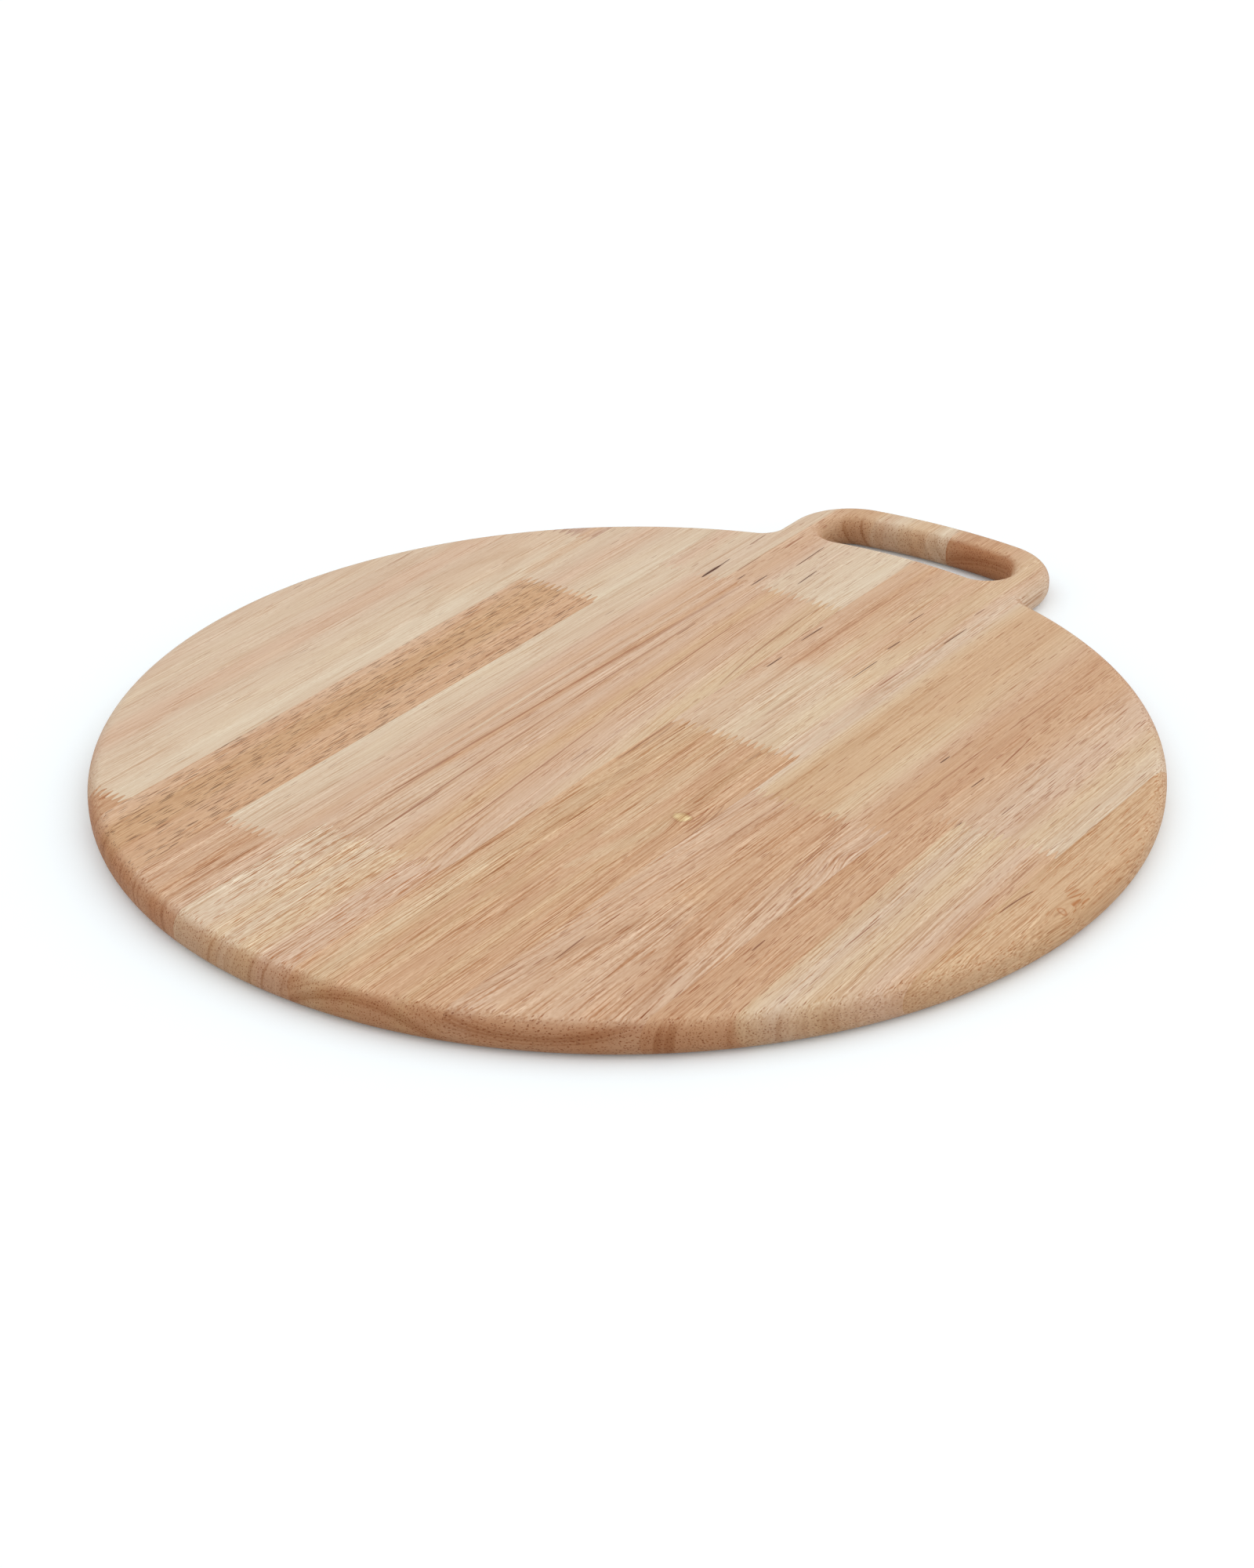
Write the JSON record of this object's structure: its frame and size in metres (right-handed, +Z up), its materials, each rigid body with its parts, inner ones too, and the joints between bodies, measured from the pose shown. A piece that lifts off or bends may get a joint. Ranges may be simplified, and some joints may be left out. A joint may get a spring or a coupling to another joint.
{
  "type": "serving board",
  "caption": "Round wooden serving board with a rounded edge and a loop handle with a curved hand slot, glued up from finger-jointed staves.",
  "frame": {"origin": "middle of the disc, on the underside that the board rests on", "axes": "+Z up through the thickness, +Y along the grain towards the handle, +X across the staves"},
  "size_m": [0.44, 0.4848, 0.015],
  "materials": {
    "cream_wood": "oiled satin, pale cream",
    "straw_wood": "oiled satin, straw",
    "rose_wood": "oiled satin, pinkish tan",
    "tan_wood": "oiled satin, tan",
    "honey_wood": "oiled satin, honey brown"
  },
  "bodies": {
    "root": {"stave_1_whole": "cream_wood", "stave_2_front": "tan_wood", "stave_2_middle": "cream_wood", "stave_2_handle_end": "rose_wood", "stave_3_front": "honey_wood", "stave_3_handle_end": "cream_wood", "stave_4_front": "tan_wood", "stave_4_middle": "straw_wood", "stave_4_handle_end": "cream_wood", "stave_5_front": "straw_wood", "stave_5_middle": "rose_wood", "stave_5_handle_end": "cream_wood", "stave_6_front": "tan_wood", "stave_6_handle_end": "straw_wood", "stave_7_front": "tan_wood", "stave_7_handle_end": "rose_wood", "stave_8_front": "rose_wood", "stave_8_handle_end": "rose_wood", "stave_9_whole": "tan_wood"}
  },
  "joints": []
}
